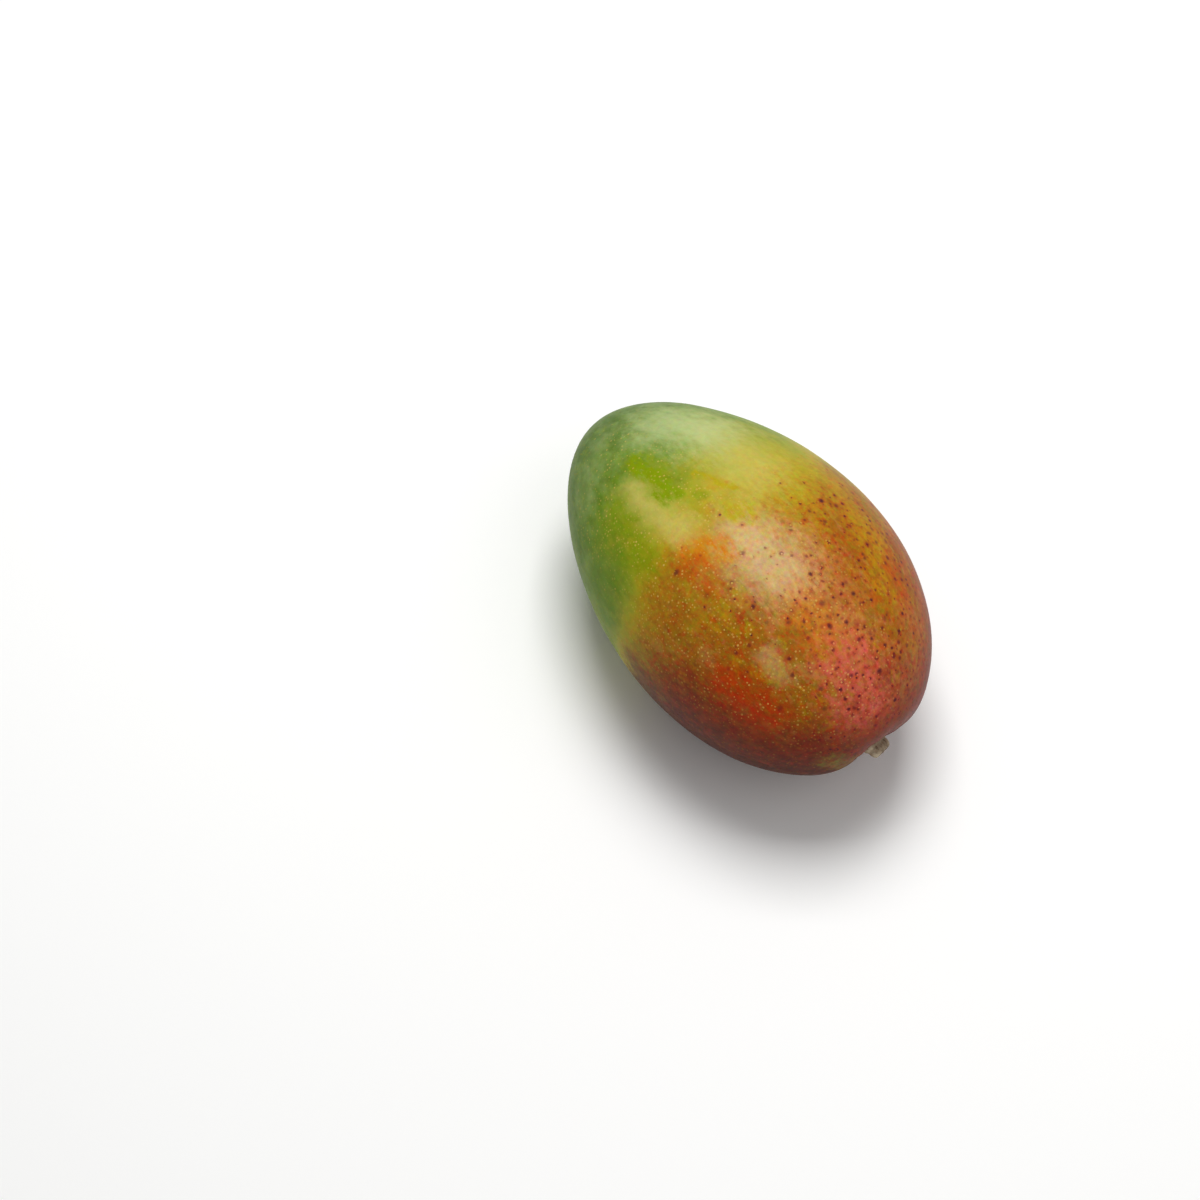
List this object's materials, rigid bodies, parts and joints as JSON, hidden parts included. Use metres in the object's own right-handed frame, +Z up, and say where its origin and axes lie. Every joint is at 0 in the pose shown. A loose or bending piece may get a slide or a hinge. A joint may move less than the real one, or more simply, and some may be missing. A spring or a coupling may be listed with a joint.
{
  "type": "mango",
  "caption": "Whole ripe mango lying on one cheek: an oval fruit, fuller at the stem end and slightly flattened, with the woody stub of its stalk set in a shallow basin low on the stem end.",
  "frame": {"origin": "middle of the fruit's outline, at the height of the small flat spot that it lies on", "axes": "+X along the fruit from its tip to the stem end, +Y across its broad face, +Z up through the cheeks"},
  "size_m": [0.1334, 0.087, 0.0776],
  "materials": {
    "skin": "thin waxy fruit skin, green at the tip through yellow and orange to a red blush, with pale lenticels and dark specks",
    "stem": "dry grey-brown bark with a darker cut end"
  },
  "bodies": {
    "root": {"fruit": "skin", "stem": "stem"}
  },
  "joints": []
}
